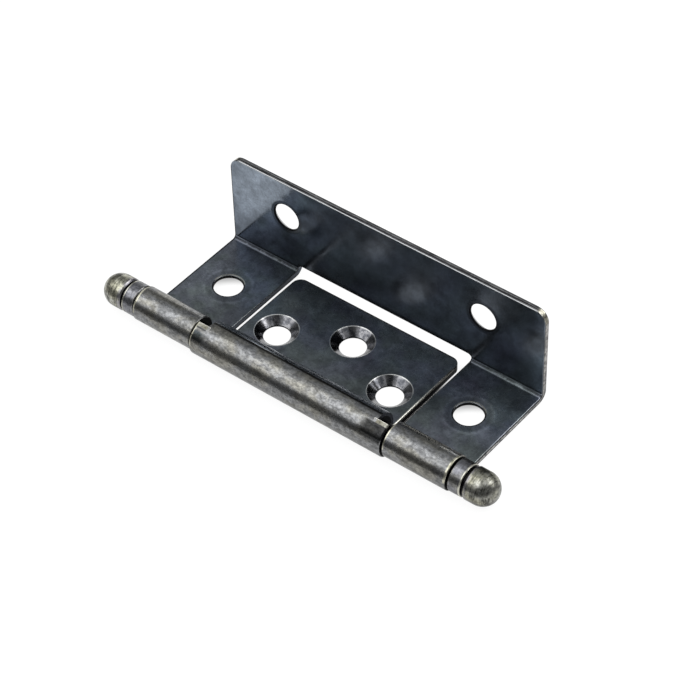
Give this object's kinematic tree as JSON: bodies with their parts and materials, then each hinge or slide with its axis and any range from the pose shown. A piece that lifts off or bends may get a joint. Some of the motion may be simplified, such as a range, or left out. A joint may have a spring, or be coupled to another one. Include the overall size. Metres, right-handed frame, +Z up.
{
  "type": "wraparound cabinet hinge",
  "caption": "Ball-tipped butt hinge: a nested door leaf swings on a barrel from a frame leaf that folds up into a tall back flange, with countersunk screw holes.",
  "frame": {"origin": "middle of the footprint, on the plane that the closed hinge lies on, under the door leaf", "axes": "+X along the barrel, +Y from the barrel to the flange, +Z up along the flange"},
  "size_m": [0.0838, 0.029, 0.0202],
  "materials": {
    "frame_leaf_plating": "dark blue-black antique pewter plating, semi-gloss, brushed light on the knuckles",
    "door_leaf_plating": "dark blue-black antique pewter plating, semi-gloss, brushed light on the knuckle",
    "pin_steel": "blackened drawn steel",
    "tip_plating": "rubbed antique pewter, finely brushed round the axis"
  },
  "bodies": {
    "frame": {"frame_leaf": "frame_leaf_plating", "hinge_pin": "pin_steel", "finial_left": "tip_plating", "finial_right": "tip_plating"},
    "door": {"door_leaf": "door_leaf_plating"}
  },
  "joints": [
    {"name": "door_hinge", "type": "hinge", "parent": "frame", "child": "door", "pos_m": [0, -0.01095, 0.00355], "axis": [-1, 0, 0], "range_deg": [0, 180]}
  ]
}
